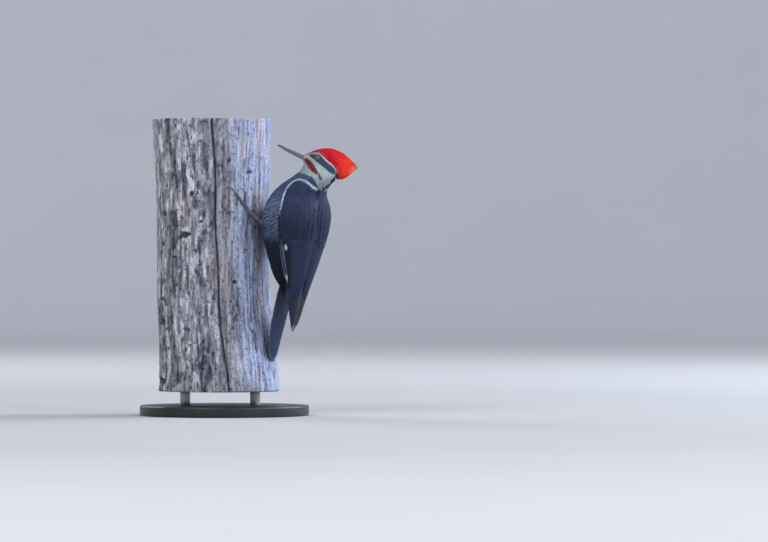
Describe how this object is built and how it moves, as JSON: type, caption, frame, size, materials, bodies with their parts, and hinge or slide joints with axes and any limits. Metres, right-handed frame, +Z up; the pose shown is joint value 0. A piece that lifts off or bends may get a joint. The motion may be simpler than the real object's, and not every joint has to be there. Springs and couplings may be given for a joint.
{
  "type": "pileated woodpecker",
  "caption": "Life-size still model of a male pileated woodpecker clinging upright to a cut length of dead trunk, on a plain round display stand.",
  "frame": {"origin": "on the floor, under the stand's base, at the trunk's axis", "axes": "+Z up along the trunk; the bird clings to the +X side with its bill toward -X, and its left side toward -Y"},
  "size_m": [0.3864, 0.3, 0.525],
  "materials": {
    "plumage_black": "matte feathers, slate black with fine pale bars on the flank",
    "plumage_slate": "smooth feathers, dark slate with a blue sheen",
    "plumage_white": "soft short feathers, white and pale grey with dark and red stripes",
    "plumage_red": "loose long feathers, crimson to orange red",
    "bill": "horn, grey with a dark tip",
    "eye": "wet and glossy",
    "leg_skin": "scaly grey skin",
    "claw": "dark polished horn",
    "dead_wood": "bare weathered grey wood with drying cracks",
    "stand_black": "satin black paint",
    "stand_steel": "brushed"
  },
  "bodies": {
    "root": {"torso": "plumage_black", "neck": "plumage_white", "head": "plumage_white", "crest": "plumage_red", "bill_upper": "bill", "bill_lower": "bill", "eye_left": "eye", "eye_right": "eye", "wing_left": "plumage_slate", "wing_right": "plumage_slate", "tail": "plumage_slate", "leg_left": "leg_skin", "leg_right": "leg_skin", "foot_left": "leg_skin", "foot_right": "leg_skin", "perch_trunk": "dead_wood", "stand_base": "stand_black", "stand_rod_left": "stand_steel", "stand_rod_right": "stand_steel", "claw_left_1": "claw", "claw_left_2": "claw", "claw_left_3": "claw", "claw_left_4": "claw", "claw_right_1": "claw", "claw_right_2": "claw", "claw_right_3": "claw", "claw_right_4": "claw"}
  },
  "joints": []
}
